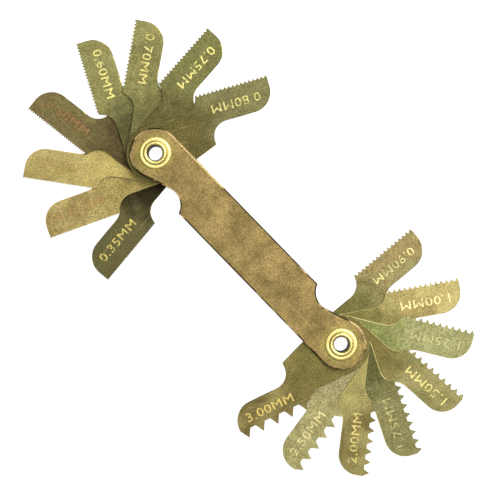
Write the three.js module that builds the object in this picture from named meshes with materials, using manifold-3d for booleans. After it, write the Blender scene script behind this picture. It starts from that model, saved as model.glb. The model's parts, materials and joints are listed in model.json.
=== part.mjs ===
// A folding screw-thread pitch gauge in millimetres, +Z up.
// Two cover plates are held by a hollow rivet at each end, and eight thin toothed leaves swing on each rivet.
// +X runs along the case from the rivet with the fine pitches to the rivet with the coarse ones.
import * as THREE from "three";
import { mergeVertices } from "three/addons/utils/BufferGeometryUtils.js";
import Module from "manifold-3d";

const wasm = await Module();
wasm.setup();

// Stack, from the table up: rivet foot, back cover, eight leaves, front cover, washer, rolled rivet lip.
const PIVOT_SPACING = 50.2;
const COVER_THICKNESS = 0.7;
const LEAF_THICKNESS = 0.45;
const LEAF_GAP = 0.1;
const LEVEL_STEP = LEAF_THICKNESS + LEAF_GAP;
const LEAVES_PER_END = 8;

// Hollow rivet and washer.
const BORE_R = 1.4;
const BARREL_R = 1.9;
const FOOT_R = 3.0;
const FOOT_THICKNESS = 0.3;
const LIP_R = 2.35;
const LIP_HEIGHT = 0.4;
const WASHER_R = 3.05;
const WASHER_THICKNESS = 0.25;
const SEAT_GAP = 0.02;
const RUNNING_GAP = 0.08;
const ROUND_STEPS = 40;

// Cover plate: round ends, with one thumb notch near each rivet, on opposite edges.
const COVER_HALF_WIDTH = 4.75;
const COVER_BEVEL = 0.24;
const NOTCH_X = 7.9;
const NOTCH_Y = -6.0;
const NOTCH_R = 3.56;

// Leaf outline, with its rivet at the origin, its teeth facing +Y and its tip towards +X.
const HEEL_R = 5.5;
const TEETH_Y = 8.4;
const BACK_Y = 2.2;
const TIP_X = 24.2;
const TIP_R = 3.9;
const TIP_ARC_X = 20.3;
const NECK_ARC = { x: 7.1, y: HEEL_R + 3.1, r: 3.1 };
const NAIL_ARC = { x: 14.45, y: BACK_Y - 2.95, r: 2.95 };
const NAIL_ARC_END = THREE.MathUtils.degToRad(183);
const FOLD_TILT = THREE.MathUtils.degToRad(20);

// Teeth: sharp 60 degree points with flat roots, in multiples of the pitch.
const TOOTH_DEPTH = 0.55;
const LAST_TOOTH_INSET = 0.35;
const FIRST_TOOTH_ROOM = 0.15;

const BACK_COVER_Z = FOOT_THICKNESS + SEAT_GAP;
const FIRST_LEAF_Z = BACK_COVER_Z + COVER_THICKNESS + LEAF_GAP;
const FRONT_COVER_Z = FIRST_LEAF_Z + LEAVES_PER_END * LEVEL_STEP;
const WASHER_Z = FRONT_COVER_Z + COVER_THICKNESS + SEAT_GAP;
const LIP_Z = WASHER_Z + WASHER_THICKNESS + SEAT_GAP;

// Each leaf: node name, pitch, how far it is swung from the line to the other rivet, and its colour, lowest first.
const FINE_LEAVES = [
  ["leaf_0_35", 0.35, 276, 0x4a4726],
  ["leaf_0_40", 0.4, 245.5, 0xb8a763],
  ["leaf_0_45", 0.45, 217, 0xc6b671],
  ["leaf_0_50", 0.5, 187.5, 0x6e643c],
  ["leaf_0_60", 0.6, 153, 0x84824f],
  ["leaf_0_70", 0.7, 125.5, 0x8a8a55],
  ["leaf_0_75", 0.75, 94.5, 0x8c8c58],
  ["leaf_0_80", 0.8, 62, 0x90905a],
];
const COARSE_LEAVES = [
  ["leaf_0_90", 0.9, 265.5, 0x9c9a66],
  ["leaf_1_00", 1.0, 236, 0xc2b16c],
  ["leaf_1_25", 1.25, 212, 0xa3a76c],
  ["leaf_1_50", 1.5, 184, 0x968650],
  ["leaf_1_75", 1.75, 154, 0x868a54],
  ["leaf_2_00", 2.0, 128.5, 0x9a9054],
  ["leaf_2_50", 2.5, 99.5, 0xaea274],
  ["leaf_3_00", 3.0, 71.5, 0x807646],
];
const COVER_COLOUR = 0xa08550;
const RIVET_COLOUR = 0xe6cf6a;

const at = (x, y) => new THREE.Vector2(x, y);

// Points along an arc, both ends included.
function arc({ x, y, r }, from, to, steps) {
  return Array.from({ length: steps + 1 }, (_, i) => {
    const angle = from + ((to - from) * i) / steps;
    return at(x + r * Math.cos(angle), y + r * Math.sin(angle));
  });
}

function roundHole(x, r) {
  return new THREE.Path(arc({ x, y: 0, r }, 0, 2 * Math.PI, ROUND_STEPS).slice(1));
}

function solidOf(geometry) {
  geometry.deleteAttribute("normal");
  geometry.deleteAttribute("uv");
  const merged = mergeVertices(geometry, 1e-4);
  return new wasm.Manifold(
    new wasm.Mesh({
      numProp: 3,
      vertProperties: merged.getAttribute("position").array,
      triVerts: new Uint32Array(merged.index.array),
    }),
  );
}

function geometryOf(solid) {
  const mesh = solid.getMesh();
  const geometry = new THREE.BufferGeometry();
  geometry.setAttribute("position", new THREE.BufferAttribute(mesh.vertProperties, 3));
  geometry.setIndex(new THREE.BufferAttribute(mesh.triVerts, 1));
  const faceted = geometry.toNonIndexed();
  faceted.computeVertexNormals();
  return faceted;
}

function prism(shape, depth) {
  return new THREE.ExtrudeGeometry(shape, { depth, bevelEnabled: false });
}

function piece(name, geometry, colour, roughness) {
  const material = new THREE.MeshStandardMaterial({ color: colour, metalness: 0.9, roughness });
  const mesh = new THREE.Mesh(geometry, material);
  mesh.name = name;
  return mesh;
}

// Half of the cover's edge, from the notch corner of one end round that end to the other edge's notch corner.
// The straight run from the round end into the notch touches both arcs.
function coverHalf() {
  const notch = { x: NOTCH_X, y: NOTCH_Y, r: NOTCH_R };
  const corner = Math.asin((-COVER_HALF_WIDTH - NOTCH_Y) / NOTCH_R);
  const between = Math.hypot(NOTCH_X, NOTCH_Y);
  const lean = Math.asin((COVER_HALF_WIDTH + NOTCH_R) / between);
  const tangent = lean - Math.atan2(-NOTCH_Y, NOTCH_X);
  const leave = Math.PI / 2 + tangent;
  return [
    ...arc(notch, corner, leave, 12),
    ...arc({ x: 0, y: 0, r: COVER_HALF_WIDTH }, leave - Math.PI, -1.5 * Math.PI, 20),
  ];
}

// The second half is the first one turned half a turn about the middle of the case.
function coverShape() {
  const half = coverHalf().map((p) => at(p.x - PIVOT_SPACING / 2, p.y));
  const shape = new THREE.Shape([...half, ...half.map((p) => at(-p.x, -p.y))].reverse());
  const holeR = BARREL_R + SEAT_GAP;
  shape.holes.push(roundHole(-PIVOT_SPACING / 2, holeR), roundHole(PIVOT_SPACING / 2, holeR));
  return shape;
}

function cover(name, z) {
  const geometry = new THREE.ExtrudeGeometry(coverShape(), {
    depth: COVER_THICKNESS - 2 * COVER_BEVEL,
    bevelThickness: COVER_BEVEL,
    bevelSize: COVER_BEVEL,
    bevelOffset: -COVER_BEVEL,
    bevelSegments: 1,
  });
  const mesh = piece(name, geometryOf(solidOf(geometry)), COVER_COLOUR, 0.55);
  mesh.position.z = z + COVER_BEVEL;
  return mesh;
}

// Turns a closed profile of [radius, height] points about the rivet's axis.
function turned(profile) {
  const points = [...profile, profile[0]].map(([r, z]) => at(r, z));
  const geometry = new THREE.LatheGeometry(points, ROUND_STEPS);
  geometry.rotateX(Math.PI / 2);
  const solid = solidOf(geometry);
  return geometryOf(solid);
}

function rivet(name) {
  const lip = { x: (BORE_R + LIP_R) / 2, y: LIP_Z, r: (LIP_R - BORE_R) / 2 };
  const squash = LIP_HEIGHT / lip.r;
  const roll = arc(lip, 0, Math.PI, 8).map((p) => [p.x, LIP_Z + (p.y - LIP_Z) * squash]);
  const profile = [
    [BORE_R + 0.15, 0],
    [FOOT_R - 0.1, 0],
    [FOOT_R, 0.1],
    [FOOT_R - 0.1, FOOT_THICKNESS],
    [BARREL_R, FOOT_THICKNESS],
    [BARREL_R, LIP_Z],
    ...roll,
    [BORE_R, 0.15],
  ];
  return piece(name, turned(profile), RIVET_COLOUR, 0.25);
}

function washer(name) {
  const inner = BARREL_R + SEAT_GAP;
  const top = WASHER_Z + WASHER_THICKNESS;
  const profile = [
    [inner, WASHER_Z],
    [WASHER_R, WASHER_Z],
    [WASHER_R, top - 0.12],
    [WASHER_R - 0.12, top],
    [inner, top],
  ];
  return piece(name, turned(profile), RIVET_COLOUR, 0.3);
}

// The leaf without its teeth: round heel, neck, straight toothed edge, rounded tip, back, nail notch and hump.
function leafShape() {
  const neckEnd = Math.asin((TEETH_Y - NECK_ARC.y) / NECK_ARC.r);
  const tip = { x: TIP_ARC_X, y: BACK_Y + TIP_R, r: TIP_R };
  const reach = Math.hypot(TIP_X - tip.x, TEETH_Y - tip.y);
  const tipStart = Math.atan2(TEETH_Y - tip.y, TIP_X - tip.x) - Math.acos(TIP_R / reach);
  const heelStart = FOLD_TILT - Math.PI / 2;
  const humpX = NAIL_ARC.x + NAIL_ARC.r * Math.cos(NAIL_ARC_END);
  const humpY = (humpX * Math.sin(FOLD_TILT) - HEEL_R) / Math.cos(FOLD_TILT);
  const shape = new THREE.Shape([
    ...arc({ x: 0, y: 0, r: HEEL_R }, heelStart, -1.5 * Math.PI, 20),
    ...arc(NECK_ARC, -Math.PI / 2, neckEnd, 8),
    at(TIP_X, TEETH_Y),
    ...arc(tip, tipStart, -Math.PI / 2, 8),
    ...arc(NAIL_ARC, Math.PI / 2, NAIL_ARC_END, 10),
    at(humpX, humpY),
  ]);
  shape.holes.push(roundHole(0, BARREL_R + RUNNING_GAP));
  return shape;
}

// What the teeth are cut out with: a bar whose lower edge is the teeth's zigzag, open at both ends.
function rackShape(pitch) {
  const depth = TOOTH_DEPTH * pitch;
  const flank = depth * Math.tan(Math.PI / 6);
  const last = TIP_X - LAST_TOOTH_INSET * pitch;
  const neckX = NECK_ARC.x + NECK_ARC.r + FIRST_TOOTH_ROOM * pitch;
  const first = last - Math.floor((last - neckX) / pitch) * pitch;
  const points = [at(NECK_ARC.x, TEETH_Y + 1), at(NECK_ARC.x, TEETH_Y - depth)];
  for (let x = first; x < last + pitch / 2; x += pitch)
    points.push(at(x - flank, TEETH_Y - depth), at(x, TEETH_Y), at(x + flank, TEETH_Y - depth));
  points.push(at(TIP_X + 1, TEETH_Y - depth), at(TIP_X + 1, TEETH_Y + 1));
  return new THREE.Shape(points);
}

function leaf([name, pitch, swing, colour], level) {
  const plain = solidOf(prism(leafShape(), LEAF_THICKNESS));
  const rack = solidOf(prism(rackShape(pitch), LEAF_THICKNESS + 1)).translate([0, 0, -0.5]);
  const mesh = piece(name, geometryOf(plain.subtract(rack)), colour, 0.5);
  mesh.position.z = FIRST_LEAF_Z + level * LEVEL_STEP;
  mesh.rotation.z = THREE.MathUtils.degToRad(swing);
  return mesh;
}

// One end of the gauge: its rivet, washer and leaves, with the other rivet in the +X direction.
function end(name, leaves) {
  const group = new THREE.Group();
  group.name = name + "_end";
  group.add(rivet("rivet_" + name), washer("washer_" + name), ...leaves.map(leaf));
  return group;
}

const gauge = new THREE.Group();
gauge.name = "thread_pitch_gauge";
const fineEnd = end("fine", FINE_LEAVES);
const coarseEnd = end("coarse", COARSE_LEAVES);
fineEnd.position.x = -PIVOT_SPACING / 2;
coarseEnd.position.x = PIVOT_SPACING / 2;
coarseEnd.rotation.z = Math.PI;
gauge.add(cover("cover_back", BACK_COVER_Z), cover("cover_front", FRONT_COVER_Z), fineEnd, coarseEnd);

// The origin is under the middle of the opened gauge's footprint.
const footprint = new THREE.Box3().setFromObject(gauge, true);
const middle = footprint.getCenter(new THREE.Vector3());
gauge.position.set(-middle.x, -middle.y, -footprint.min.z);

export default gauge;
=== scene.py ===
"""Looks of the folding thread pitch gauge: aged brass leaves, covers and hollow rivets on a white table."""

import json
import math

import bmesh
import bpy
from mathutils import Matrix, Vector


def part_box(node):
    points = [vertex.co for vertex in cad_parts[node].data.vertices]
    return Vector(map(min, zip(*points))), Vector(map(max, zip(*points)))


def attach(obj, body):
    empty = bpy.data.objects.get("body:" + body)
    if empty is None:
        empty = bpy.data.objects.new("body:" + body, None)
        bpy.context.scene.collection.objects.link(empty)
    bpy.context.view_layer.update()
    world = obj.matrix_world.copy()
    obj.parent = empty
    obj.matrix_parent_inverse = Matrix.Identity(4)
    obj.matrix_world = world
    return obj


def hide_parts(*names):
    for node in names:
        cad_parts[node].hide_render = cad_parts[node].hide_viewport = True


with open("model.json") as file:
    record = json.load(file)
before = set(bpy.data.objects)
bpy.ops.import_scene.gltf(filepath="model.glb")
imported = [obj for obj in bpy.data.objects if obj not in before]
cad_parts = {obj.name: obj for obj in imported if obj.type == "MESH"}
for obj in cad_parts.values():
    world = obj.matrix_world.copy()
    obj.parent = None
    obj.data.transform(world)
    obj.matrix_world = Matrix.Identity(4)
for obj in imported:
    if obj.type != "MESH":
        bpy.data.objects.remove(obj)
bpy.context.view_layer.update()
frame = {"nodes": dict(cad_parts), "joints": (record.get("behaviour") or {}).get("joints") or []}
MM = 0.001
# An edge that turns by more degrees than this is sharp. A face whose normal's z is above FLAT_FACE is flat.
SHARP_ANGLE = 20.0
FLAT_FACE = 0.99
NODES = frame["nodes"]
JOINTS = {joint["child"]: joint for joint in frame["joints"]}

# A folded leaf lies this many degrees past the line to the other rivet, where its hinge range ends.
FOLD_TILT = 20.0
FINE_PIVOT = Vector(JOINTS["leaf_0_35"]["pos_m"])
COARSE_PIVOT = Vector(JOINTS["leaf_3_00"]["pos_m"])

# A leaf's softened edges. Its rivet hole, and its teeth beyond these distances, stay sharp.
LEAF_BEVEL = 0.14 * MM
RIVET_ZONE = 2.4 * MM
TEETH_ZONE_X = 9.0 * MM
TEETH_ZONE_Y = 6.6 * MM

# The stamped size: its middle, from the leaf's rivet, its measures, and how far it starts above the face.
STAMP_CENTRE = Vector((17.3, 4.9, 0)) * MM
STAMP_WIDTH = 9.6 * MM
STAMP_HEIGHT = 1.75 * MM
STAMP_DEPTH = 0.08 * MM
STAMP_LIFT = 0.01 * MM
# How far the stamp's slanted walls reach out, in the font's own units.
STAMP_SLOPE = 0.02
STAMP_SPACING = 1.08

# Each leaf: its stamped size, then its stamp, main, patch and heel colours, as 0 to 255 red, green, blue.
# The heel colour fills the leaf round its rivet. Where it is darker it is partly tone and partly painted
# shade near the stack and cover; on the 0.35 leaf it is mostly a painted shadow of the stack.
LEAVES = {
    "leaf_0_35": ("0.35MM", (208, 192, 110), (100, 96, 58), (110, 104, 64), (54, 48, 24)),
    "leaf_0_40": ("0.40MM", (172, 138, 84), (174, 158, 100), (166, 146, 90), (172, 156, 92)),
    "leaf_0_45": ("0.45MM", (176, 154, 96), (186, 170, 110), (180, 162, 98), (192, 174, 104)),
    "leaf_0_50": ("0.50MM", (150, 116, 74), (118, 110, 66), (130, 112, 72), (88, 76, 46)),
    "leaf_0_60": ("0.60MM", (220, 212, 134), (142, 140, 86), (150, 144, 90), (96, 94, 54)),
    "leaf_0_70": ("0.70MM", (208, 196, 124), (148, 142, 88), (138, 134, 82), (112, 108, 64)),
    "leaf_0_75": ("0.75MM", (216, 206, 128), (116, 116, 68), (130, 126, 76), (102, 96, 54)),
    "leaf_0_80": ("0.80MM", (192, 182, 116), (122, 118, 74), (130, 124, 80), (104, 96, 52)),
    "leaf_0_90": ("0.90MM", (208, 198, 134), (146, 138, 92), (166, 148, 98), (114, 110, 62)),
    "leaf_1_00": ("1.00MM", (232, 218, 152), (184, 170, 110), (174, 156, 98), (134, 128, 72)),
    "leaf_1_25": ("1.25MM", (184, 180, 124), (160, 160, 108), (168, 164, 112), (140, 144, 84)),
    "leaf_1_50": ("1.50MM", (224, 208, 134), (160, 150, 100), (150, 144, 90), (126, 114, 62)),
    "leaf_1_75": ("1.75MM", (186, 180, 118), (136, 134, 90), (146, 138, 88), (104, 104, 60)),
    "leaf_2_00": ("2.00MM", (218, 200, 126), (154, 144, 90), (132, 120, 70), (168, 156, 96)),
    "leaf_2_50": ("2.50MM", (226, 214, 150), (174, 166, 116), (162, 154, 100), (168, 158, 112)),
    "leaf_3_00": ("3.00MM", (218, 198, 116), (146, 132, 82), (126, 112, 64), (124, 114, 62)),
}
# The leaves whose edges are painted bright: partly wear, partly a painted highlight where the edges face
# the light. The others' edges are dark.
HIGHLIT_WORN_LEAVES = ("leaf_0_40", "leaf_0_45", "leaf_1_00", "leaf_1_25", "leaf_1_50", "leaf_1_75", "leaf_2_00")
COVER_MAIN = (160, 137, 85)
COVER_PATCH = (146, 126, 76)
# A yellow ring painted on the cover round each rivet: a painted reflection.
COVER_RING_REFLECTION = (168, 154, 82)
COVER_BEVEL = 0.1 * MM
# Where the cover's edge is painted bright, partly thumb wear and partly a painted highlight on the side
# that faces the key light: its place from the rivet, its reach and how bright it gets.
FINE_EDGE_WEAR_AND_HIGHLIGHT = (Vector((6.5, 4.7, 6.0)) * MM, 8.5 * MM, 0.4)
COARSE_EDGE_WEAR_AND_HIGHLIGHT = (Vector((2.0, 4.2, 6.0)) * MM, 8.0 * MM, 0.13)
# A dark tarnish colour. As the bore's main colour it is painted shade.
TARNISH_AND_BORE_SHADE_COLOUR = (92, 80, 48)
# Painted shade in a rivet's bore.
BORE_SHADE_COLOUR = (52, 44, 24)
# The colour of bright scratches, and of bright leaf edges, which are partly wear and partly a painted
# highlight.
LEAF_EDGE_COLOUR = (224, 204, 138)
DARK_EDGE_COLOUR = (104, 94, 54)
# The cover's edge: dark, partly patina and partly painted shade along its outline. It is bright at a few
# spots, partly wear and partly painted highlight.
COVER_EDGE_COLOUR = (66, 54, 30)
COVER_WORN_AND_HIGHLIT_COLOUR = (240, 208, 150)
RIVET_COLOUR = (236, 216, 136)

# The hollow rivet: its bore, barrel and lip radii, and the rounding of its mouth and its foot's rim.
BORE_R = 1.4 * MM
BARREL_R = 1.9 * MM
LIP_R = 2.35 * MM
MOUTH_ROUND = 0.3 * MM
FOOT_ROUND = 0.12 * MM
RIVET_GAP = 0.01 * MM
# Faces of a rivet that lie no further than this outside its bore are painted dark, a painted shade in the
# bore.
BORE_SKIN = 0.05 * MM
# The washer: its hole, the half width and height of its domed rim, and its lower edge's rounding.
WASHER_HOLE_R = 1.93 * MM
DOME_HALF_WIDTH = 0.46 * MM
DOME_HEIGHT = 0.16 * MM
WASHER_ROUND = 0.06 * MM
WASHER_DIP = 0.02 * MM


def linear(colour):
    """A 0 to 255 display colour as a linear RGBA value."""
    parts = (c / 255 for c in colour)
    return (*(p / 12.92 if p <= 0.04045 else ((p + 0.055) / 1.055) ** 2.4 for p in parts), 1.0)


class Nodes:
    """A short way to build one material's node tree."""

    def __init__(self, name, seed):
        self.material = bpy.data.materials.new(name)
        self.material.use_nodes = True
        self.tree = self.material.node_tree
        self.shader = self.tree.nodes["Principled BSDF"]
        self.place = self.tree.nodes.new("ShaderNodeTexCoord").outputs["Object"]
        self.seed = seed

    def add(self, kind, inputs=(), **settings):
        node = self.tree.nodes.new("ShaderNode" + kind)
        for key, value in settings.items():
            setattr(node, key, value)
        for socket, value in dict(inputs).items():
            self.put(node.inputs[socket], value)
        return node

    def put(self, socket, value):
        if isinstance(value, bpy.types.NodeSocket):
            self.tree.links.new(value, socket)
        else:
            socket.default_value = value

    def noise(self, size_mm, detail=3.0, roughness=0.55, stretch=(1, 1, 1), turn=0.0):
        """Noise whose blotches are about this many millimetres across."""
        self.seed += 1
        moved = self.add(
            "Mapping",
            {
                "Vector": self.place,
                "Location": (0.37 * self.seed, 0.53 * self.seed, 0.11 * self.seed),
                "Rotation": (0, 0, turn),
                "Scale": stretch,
            },
        )
        scale = 1 / (size_mm * MM)
        made = self.add(
            "TexNoise",
            {"Vector": moved.outputs["Vector"], "Scale": scale, "Detail": detail, "Roughness": roughness},
        )
        return made.outputs["Fac"]

    def spread(self, value, low, high, to_low=0.0, to_high=1.0):
        """Maps value from low..high to to_low..to_high, clamped."""
        made = self.add(
            "MapRange",
            {"Value": value, "From Min": low, "From Max": high, "To Min": to_low, "To Max": to_high},
        )
        return made.outputs["Result"]

    def mix(self, share, a, b, blend="MIX"):
        made = self.add("Mix", data_type="RGBA", blend_type=blend)
        self.put(made.inputs[0], share)
        self.put(made.inputs[6], a)
        self.put(made.inputs[7], b)
        return made.outputs[2]

    def math(self, operation, a, b):
        made = self.add("Math", operation=operation)
        self.put(made.inputs[0], a)
        self.put(made.inputs[1], b)
        return made.outputs[0]

    def grey(self, value):
        """A single value as a grey colour."""
        made = self.add("CombineColor", {"Red": value, "Green": value, "Blue": value})
        return made.outputs["Color"]

    def finish(self, colour, roughness, height, metallic, relief_mm=0.02):
        self.put(self.shader.inputs["Base Color"], colour)
        self.put(self.shader.inputs["Roughness"], roughness)
        self.put(self.shader.inputs["Metallic"], metallic)
        self.put(self.shader.inputs["Specular IOR Level"], 0.25)
        bump = self.add("Bump", {"Height": height, "Strength": 0.6, "Distance": relief_mm * MM})
        self.put(self.shader.inputs["Normal"], bump.outputs["Normal"])
        return self.material


def scratches(n, size_mm, turn):
    """Thin light lines along one direction: 1 on a scratch and 0 off it."""
    lines = n.noise(size_mm, detail=2, stretch=(0.04, 1, 1), turn=turn)
    return n.spread(lines, 0.68, 0.74)


def patinated_brass(name, seed, main, patch, heel=None, reflection_ring_pivots=(), metallic=0.75):
    """Old sheet brass: faint drifting patches, a speckled grain and fine scratches.

    A leaf takes its heel colour round its rivet: partly tone and partly painted shade near the stack and
    cover. A cover gets a yellow ring round each of these rivets, a painted reflection.
    """
    n = Nodes(name, seed)
    patches = n.spread(n.noise(4.5, detail=4), 0.38, 0.62)
    colour = n.mix(patches, linear(main), linear(patch))
    # Heel colour round the rivet: partly tone, partly painted shade near the stack and cover.
    if heel:
        from_rivet = n.add("VectorMath", {0: n.place}, operation="LENGTH").outputs["Value"]
        rough_edge = n.math("ADD", from_rivet, n.spread(n.noise(2.5), 0.3, 0.7, -2.0 * MM, 2.0 * MM))
        near_rivet = n.spread(rough_edge, 9.0 * MM, 14.5 * MM, 1.0, 0.0)
        colour = n.mix(near_rivet, colour, linear(heel))
    # A painted reflection: a yellow ring round each rivet.
    for pivot in reflection_ring_pivots:
        level = n.add("VectorMath", {0: n.place, 1: (1, 1, 0)}, operation="MULTIPLY").outputs["Vector"]
        from_rivet = n.add("VectorMath", {0: level, 1: pivot}, operation="DISTANCE").outputs["Value"]
        rough_edge = n.math("ADD", from_rivet, n.spread(n.noise(1.5), 0.3, 0.7, -0.4 * MM, 0.4 * MM))
        ring = n.spread(rough_edge, 3.2 * MM, 4.1 * MM, 0.7, 0.0)
        colour = n.mix(ring, colour, linear(COVER_RING_REFLECTION))
    mottle = n.noise(1.6, detail=4)
    grain = n.noise(0.26, detail=1, roughness=0.6)
    colour = n.mix(1.0, colour, n.grey(n.spread(mottle, 0.3, 0.7, 0.87, 1.13)), "MULTIPLY")
    colour = n.mix(1.0, colour, n.grey(n.spread(grain, 0.3, 0.7, 0.58, 1.38)), "MULTIPLY")
    lines = n.math("MAXIMUM", scratches(n, 0.45, 0.25), scratches(n, 0.55, 1.9))
    colour = n.mix(n.math("MULTIPLY", lines, 0.18), colour, linear(LEAF_EDGE_COLOUR))
    roughness = n.spread(n.math("ADD", grain, patches), 0.4, 1.6, 0.52, 0.68)
    height = n.math("SUBTRACT", grain, n.math("MULTIPLY", lines, 0.4))
    return n.finish(colour, roughness, height, metallic)


def rubbed_brass(name, seed, colour, tarnish_and_shade_colour, tarnish=(0.5, 0.72), patch_mm=1.4, rough=(0.22, 0.42),
                 metallic=0.9, wear_and_highlight_spots=()):
    """Bare or polished brass, tarnished in patches between two levels of noise, and less at the given
    spots, where wear and a painted highlight brighten it. In a rivet's bore the dark colours are painted
    shade, and on the cover's edge they are partly painted shade.
    """
    n = Nodes(name, seed)
    patches = n.noise(patch_mm, detail=4)
    for middle, reach, brightening in wear_and_highlight_spots:
        distance = n.add("VectorMath", {0: n.place, 1: middle}, operation="DISTANCE").outputs["Value"]
        patches = n.math("SUBTRACT", patches, n.spread(distance, 0.4 * reach, reach, brightening, 0.0))
    dull = n.spread(patches, *tarnish)
    grain = n.noise(0.25, detail=2)
    mixed = n.mix(dull, linear(colour), linear(tarnish_and_shade_colour))
    mixed = n.mix(1.0, mixed, n.grey(n.spread(grain, 0.3, 0.7, 0.84, 1.12)), "MULTIPLY")
    roughness = n.spread(n.math("ADD", grain, n.math("MULTIPLY", dull, 0.6)), 0.35, 1.1, *rough)
    return n.finish(mixed, roughness, grain, metallic, relief_mm=0.008)


def plate_copy(node, to_local):
    """A CAD plate in its own frame, with its triangles merged back into flat faces."""
    shape = bmesh.new()
    shape.from_mesh(NODES[node].data)
    shape.transform(to_local)
    bmesh.ops.remove_doubles(shape, verts=shape.verts, dist=0.001 * MM)
    bmesh.ops.dissolve_limit(shape, angle_limit=math.radians(1), verts=shape.verts, edges=shape.edges)
    return shape


def rim_edges(shape, keep):
    """The edges between a flat face and the plate's side, where keep says so of their middle."""
    found = []
    for edge in shape.edges:
        if len(edge.link_faces) != 2:
            continue
        up = sorted(abs(face.normal.z) for face in edge.link_faces)
        middle = (edge.verts[0].co + edge.verts[1].co) / 2
        if up[1] > FLAT_FACE and up[0] < 0.8 and keep(middle):
            found.append(edge)
    return found


def soften(shape, edges, width):
    bmesh.ops.bevel(
        shape, geom=edges, offset=width, offset_type="OFFSET", segments=2, profile=0.5,
        affect="EDGES", clamp_overlap=True, material=1,
    )


def shade(mesh):
    """Smooth where the mesh turns by no more than SHARP_ANGLE, and flat where it faces up or down."""
    mesh.shade_smooth()
    mesh.set_sharp_from_angle(angle=math.radians(SHARP_ANGLE))
    for face in mesh.polygons:
        face.use_smooth = abs(face.normal.z) < FLAT_FACE


def new_piece(name, shape, materials, place=None):
    """The bmesh as an object with these materials."""
    mesh = bpy.data.meshes.new(name)
    shape.to_mesh(mesh)
    shape.free()
    for material in materials:
        mesh.materials.append(material)
    shade(mesh)
    piece = bpy.data.objects.new(name, mesh)
    bpy.context.scene.collection.objects.link(piece)
    piece.matrix_world = place or Matrix.Identity(4)
    return piece


def stand_for(piece, node, body):
    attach(piece, body)
    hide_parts(node)


def stamp_cutter(words, top, material):
    """The stamped size as a solid to cut with, widest at the face. It reads from the tip to the rivet."""
    curve = bpy.data.curves.new("stamp", "FONT")
    curve.body = words
    curve.bevel_depth = STAMP_SLOPE
    curve.bevel_resolution = 0
    curve.resolution_u = 3
    curve.space_character = STAMP_SPACING
    text = bpy.data.objects.new("stamp", curve)
    bpy.context.scene.collection.objects.link(text)
    bpy.context.view_layer.update()
    mesh = bpy.data.meshes.new_from_object(text.evaluated_get(bpy.context.evaluated_depsgraph_get()))
    bpy.data.objects.remove(text)
    letters = bmesh.new()
    letters.from_mesh(mesh)
    bmesh.ops.remove_doubles(letters, verts=letters.verts, dist=STAMP_SLOPE / 1000)
    xs = [v.co.x for v in letters.verts]
    ys = [v.co.y for v in letters.verts]
    middle = Vector(((min(xs) + max(xs)) / 2, (min(ys) + max(ys)) / 2, 0))
    wide, high = STAMP_WIDTH / (max(xs) - min(xs)), STAMP_HEIGHT / (max(ys) - min(ys))
    fit = Matrix.Diagonal((wide, high, STAMP_DEPTH / STAMP_SLOPE, 1))
    upside_down = Matrix.Rotation(math.pi, 4, "Z") @ fit @ Matrix.Translation(-middle)
    letters.transform(Matrix.Translation(STAMP_CENTRE + Vector((0, 0, top + STAMP_LIFT))) @ upside_down)
    return new_piece("cutter", letters, [material])


def cut(piece, cutter):
    """Takes the cutter out of the piece, and gives the cut its material. Both still lie at the origin."""
    for each in (piece, cutter):
        each.data.transform(Matrix.Scale(1 / MM, 4))
    bpy.context.view_layer.update()
    size = Vector(piece.dimensions)
    boolean = piece.modifiers.new("stamp", "BOOLEAN")
    boolean.operation = "DIFFERENCE"
    boolean.solver = "EXACT"
    boolean.material_mode = "TRANSFER"
    boolean.use_self = True
    boolean.object = cutter
    bpy.context.view_layer.update()
    depsgraph = bpy.context.evaluated_depsgraph_get()
    piece.data = bpy.data.meshes.new_from_object(piece.evaluated_get(depsgraph), depsgraph=depsgraph)
    piece.modifiers.clear()
    if (Vector(piece.dimensions) - size).length > 0.01:
        raise ValueError(f"the stamp has spoilt {piece.name}")
    piece.data.transform(Matrix.Scale(MM, 4))
    shade(piece.data)
    bpy.data.objects.remove(cutter)


def leaf_place(node):
    """A leaf's own frame: its origin on the rivet's axis at the leaf's underside, +X towards its tip."""
    joint = JOINTS[node]
    pivot = Vector(joint["pos_m"])
    other = COARSE_PIVOT if (pivot - FINE_PIVOT).length < MM else FINE_PIVOT
    towards = other - pivot
    heading = math.atan2(towards.y, towards.x) + math.radians(360 - FOLD_TILT - joint["range_deg"][1])
    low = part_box(node)[0].z
    return Matrix.Translation((pivot.x, pivot.y, low)) @ Matrix.Rotation(heading, 4, "Z")


def build_leaf(index, node, worn_and_highlit_edge, dark_edge):
    words, stamped, main, patch, heel = LEAVES[node]
    place = leaf_place(node)
    shape = plate_copy(node, place.inverted())

    def plain_rim(middle):
        in_teeth = middle.y > TEETH_ZONE_Y and middle.x > TEETH_ZONE_X
        return middle.length > RIVET_ZONE and not in_teeth

    soften(shape, rim_edges(shape, plain_rim), LEAF_BEVEL)
    brass = patinated_brass("brass_" + node, 20 * index, main, patch, heel)
    edge = worn_and_highlit_edge if node in HIGHLIT_WORN_LEAVES else dark_edge
    piece = new_piece(node + "_blade", shape, [brass, edge])
    low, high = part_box(node)
    stamp = rubbed_brass(
        "stamp_" + node, 20 * index + 10, stamped, main,
        tarnish=(0.48, 0.7), patch_mm=1.0, rough=(0.3, 0.5), metallic=0.75,
    )
    cut(piece, stamp_cutter(words, high.z - low.z, stamp))
    piece.matrix_world = place
    stand_for(piece, node, node)


def build_cover(node, seed, edge_material):
    shape = plate_copy(node, Matrix.Identity(4))
    soften(shape, rim_edges(shape, lambda middle: True), COVER_BEVEL)
    for face in shape.faces:
        face.material_index = int(abs(face.normal.z) < FLAT_FACE)
    brass = patinated_brass(
        "brass_" + node, seed, COVER_MAIN, COVER_PATCH, reflection_ring_pivots=(FINE_PIVOT, COARSE_PIVOT),
    )
    piece = new_piece(node + "_plate", shape, [brass, edge_material])
    stand_for(piece, node, "case")


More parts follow.
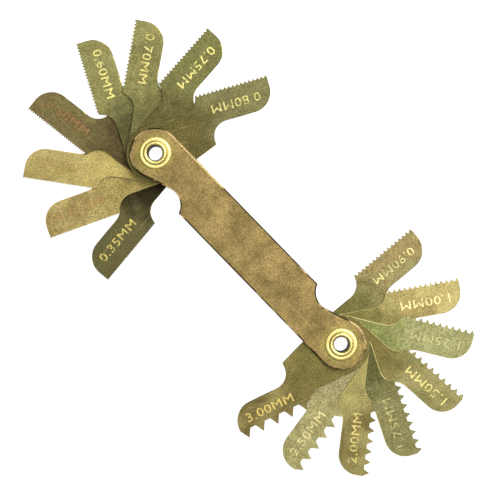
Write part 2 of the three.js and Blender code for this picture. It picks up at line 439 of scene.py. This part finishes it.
def turned(name, profile, pivot, material, steps=96):
    """A closed profile of (radius, height) points in metres, turned about a rivet's axis."""
    shape = bmesh.new()
    rings = []
    for i in range(steps):
        angle = 2 * math.pi * i / steps
        ring = [
            shape.verts.new((r * math.cos(angle), r * math.sin(angle), z)) for r, z in profile
        ]
        rings.append(ring)
    for a, b in zip(rings, rings[1:] + rings[:1]):
        for j in range(len(profile)):
            k = (j + 1) % len(profile)
            shape.faces.new((a[j], b[j], b[k], a[k]))
    bmesh.ops.recalc_face_normals(shape, faces=shape.faces)
    return new_piece(name, shape, [material], Matrix.Translation((pivot.x, pivot.y, 0)))


def bend(x, z, rx, rz, start, stop, steps=10):
    """Points along an oval arc, angles in degrees."""
    angles = (math.radians(start + (stop - start) * i / steps) for i in range(steps + 1))
    return [(x + rx * math.cos(a), z + rz * math.sin(a)) for a in angles]


def build_rivet(end, pivot, material, bore_shade_material):
    """A hollow rivet: wide foot, straight barrel with its bore painted dark as shade, and a lip rolled over
    the washer.
    """
    node = "rivet_" + end
    low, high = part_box(node)
    foot_r = high.x - pivot.x
    foot_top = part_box("cover_back")[0].z - RIVET_GAP
    barrel_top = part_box("washer_" + end)[1].z + 2 * RIVET_GAP
    lip_base = barrel_top + RIVET_GAP
    profile = [
        *bend(BORE_R + MOUTH_ROUND, low.z + MOUTH_ROUND, MOUTH_ROUND, MOUTH_ROUND, 180, 270, 6),
        *bend(foot_r - FOOT_ROUND, low.z + FOOT_ROUND, FOOT_ROUND, FOOT_ROUND, 270, 360, 6),
        (foot_r - 2 * RIVET_GAP, foot_top),
        (BARREL_R, foot_top),
        (BARREL_R, barrel_top),
        *bend((BORE_R + LIP_R) / 2, lip_base, (LIP_R - BORE_R) / 2, high.z - lip_base, 0, 180, 14),
    ]
    piece = turned(node + "_eyelet", profile, pivot, material)
    piece.data.materials.append(bore_shade_material)
    # Faces in the bore take the painted shade.
    for face in piece.data.polygons:
        face.material_index = int(face.center.xy.length < BORE_R + BORE_SKIN)
    stand_for(piece, node, "case")


def build_washer(end, pivot, material):
    """A thin ring with a domed rim, which dips towards the rivet's lip."""
    node = "washer_" + end
    low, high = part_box(node)
    outer = high.x - pivot.x
    dome_base = high.z - DOME_HEIGHT
    profile = [
        (WASHER_HOLE_R, low.z),
        *bend(outer - WASHER_ROUND, low.z + WASHER_ROUND, WASHER_ROUND, WASHER_ROUND, 270, 360, 3),
        *bend(outer - DOME_HALF_WIDTH, dome_base, DOME_HALF_WIDTH, DOME_HEIGHT, 0, 180, 12),
        (outer - 2 * DOME_HALF_WIDTH - 2 * WASHER_DIP, dome_base),
        (WASHER_HOLE_R, high.z - WASHER_DIP),
    ]
    piece = turned(node + "_ring", profile, pivot, material)
    stand_for(piece, node, "case")


def build_object():
    # Bright leaf edges: partly wear, partly a painted highlight.
    worn_and_highlit_edge = rubbed_brass(
        "leaf_edge_wear_and_painted_highlight", 700, LEAF_EDGE_COLOUR, TARNISH_AND_BORE_SHADE_COLOUR, tarnish=(0.6, 0.74), patch_mm=3.0,
        rough=(0.36, 0.5), metallic=0.35,
    )
    dark_edge = rubbed_brass(
        "dark_leaf_edge", 760, LEAF_EDGE_COLOUR, DARK_EDGE_COLOUR, tarnish=(0.38, 0.48), patch_mm=2.0,
        rough=(0.3, 0.45), metallic=0.9,
    )
    edge_wear_and_highlights = [
        (pivot + spot, reach, brightening)
        for pivot, (spot, reach, brightening) in ((FINE_PIVOT, FINE_EDGE_WEAR_AND_HIGHLIGHT), (COARSE_PIVOT, COARSE_EDGE_WEAR_AND_HIGHLIGHT))
    ]
    # The cover's edge: dark, partly patina and partly painted shade, with bright spots of wear and painted
    # highlight.
    cover_edge = rubbed_brass(
        "cover_edge_patina_shade_and_highlight", 720, COVER_WORN_AND_HIGHLIT_COLOUR, COVER_EDGE_COLOUR, tarnish=(0.36, 0.46), patch_mm=4.0,
        rough=(0.3, 0.45), metallic=0.8, wear_and_highlight_spots=edge_wear_and_highlights,
    )
    polished = rubbed_brass(
        "polished_brass", 740, RIVET_COLOUR, TARNISH_AND_BORE_SHADE_COLOUR, tarnish=(0.58, 0.9),
        rough=(0.3, 0.44), metallic=0.85,
    )
    # The bore's wall is painted dark: painted shade in the hole.
    bore = rubbed_brass(
        "bore_painted_shade", 780, TARNISH_AND_BORE_SHADE_COLOUR, BORE_SHADE_COLOUR, tarnish=(0.3, 0.5), rough=(0.5, 0.65), metallic=0.6,
    )
    for index, node in enumerate(LEAVES):
        build_leaf(index, node, worn_and_highlit_edge, dark_edge)
    build_cover("cover_front", 500, cover_edge)
    build_cover("cover_back", 540, cover_edge)
    for end, pivot in (("fine", FINE_PIVOT), ("coarse", COARSE_PIVOT)):
        build_rivet(end, pivot, polished, bore)
        build_washer(end, pivot, polished)


# The camera looks straight down, rolled so that the case runs from the upper left to the lower right.
CASE_MIDDLE = (FINE_PIVOT + COARSE_PIVOT) / 2
CAMERA_OFFSET = Vector((0.41, 0.08, 0)) * MM
CAMERA_HEIGHT = 435 * MM
CAMERA_ROLL = math.radians(45.8)
VIEW_WIDTH = 94.6 * MM
LEAF_LEVEL = 3.3 * MM
# The table is a white sheet lit from below as well, which takes its shadows away.
TABLE_HALF_SIDE = 1.5
TABLE_GLOW = 0.95
SKY_STRENGTH = 0.17
# Each light: its place, side and power, in metres and watts.
OVERHEAD = ((0.0, -0.05, 0.6), 0.5, 0.68)
KEY = ((0.0, 0.28, 0.46), 0.42, 2.9)
WHITE = (1, 1, 1, 1)


def build_camera():
    data = bpy.data.cameras.new("camera")
    data.angle = 2 * math.atan(VIEW_WIDTH / 2 / CAMERA_HEIGHT)
    camera = bpy.data.objects.new("camera", data)
    camera.location = CASE_MIDDLE + CAMERA_OFFSET + Vector((0, 0, LEAF_LEVEL + CAMERA_HEIGHT))
    camera.rotation_euler = (0, 0, CAMERA_ROLL)
    bpy.context.scene.collection.objects.link(camera)
    bpy.context.scene.camera = camera


def area_light(name, place, side, power):
    """A square soft light that faces the object's origin."""
    data = bpy.data.lights.new(name, "AREA")
    data.size = side
    data.energy = power
    light = bpy.data.objects.new(name, data)
    light.location = place
    light.rotation_euler = (Vector(place) * -1).to_track_quat("-Z", "Y").to_euler()
    bpy.context.scene.collection.objects.link(light)


def build_studio():
    shape = bmesh.new()
    bmesh.ops.create_grid(shape, x_segments=1, y_segments=1, size=TABLE_HALF_SIDE)
    n = Nodes("white_table", 900)
    colour = n.grey(n.spread(n.noise(40, detail=2), 0.3, 0.7, 0.38, 0.4))
    n.put(n.shader.inputs["Emission Color"], WHITE)
    n.put(n.shader.inputs["Emission Strength"], TABLE_GLOW)
    floor = new_piece("table", shape, [n.finish(colour, 0.9, n.noise(0.5), 0.0, relief_mm=0.002)])
    world = bpy.data.worlds.new("studio")
    world.use_nodes = True
    sky = world.node_tree.nodes["Background"]
    sky.inputs["Color"].default_value = WHITE
    sky.inputs["Strength"].default_value = SKY_STRENGTH
    bpy.context.scene.world = world
    area_light("overhead", *OVERHEAD)
    area_light("key", *KEY)
    bpy.context.scene.view_settings.view_transform = "Standard"


build_object()
build_camera()
build_studio()
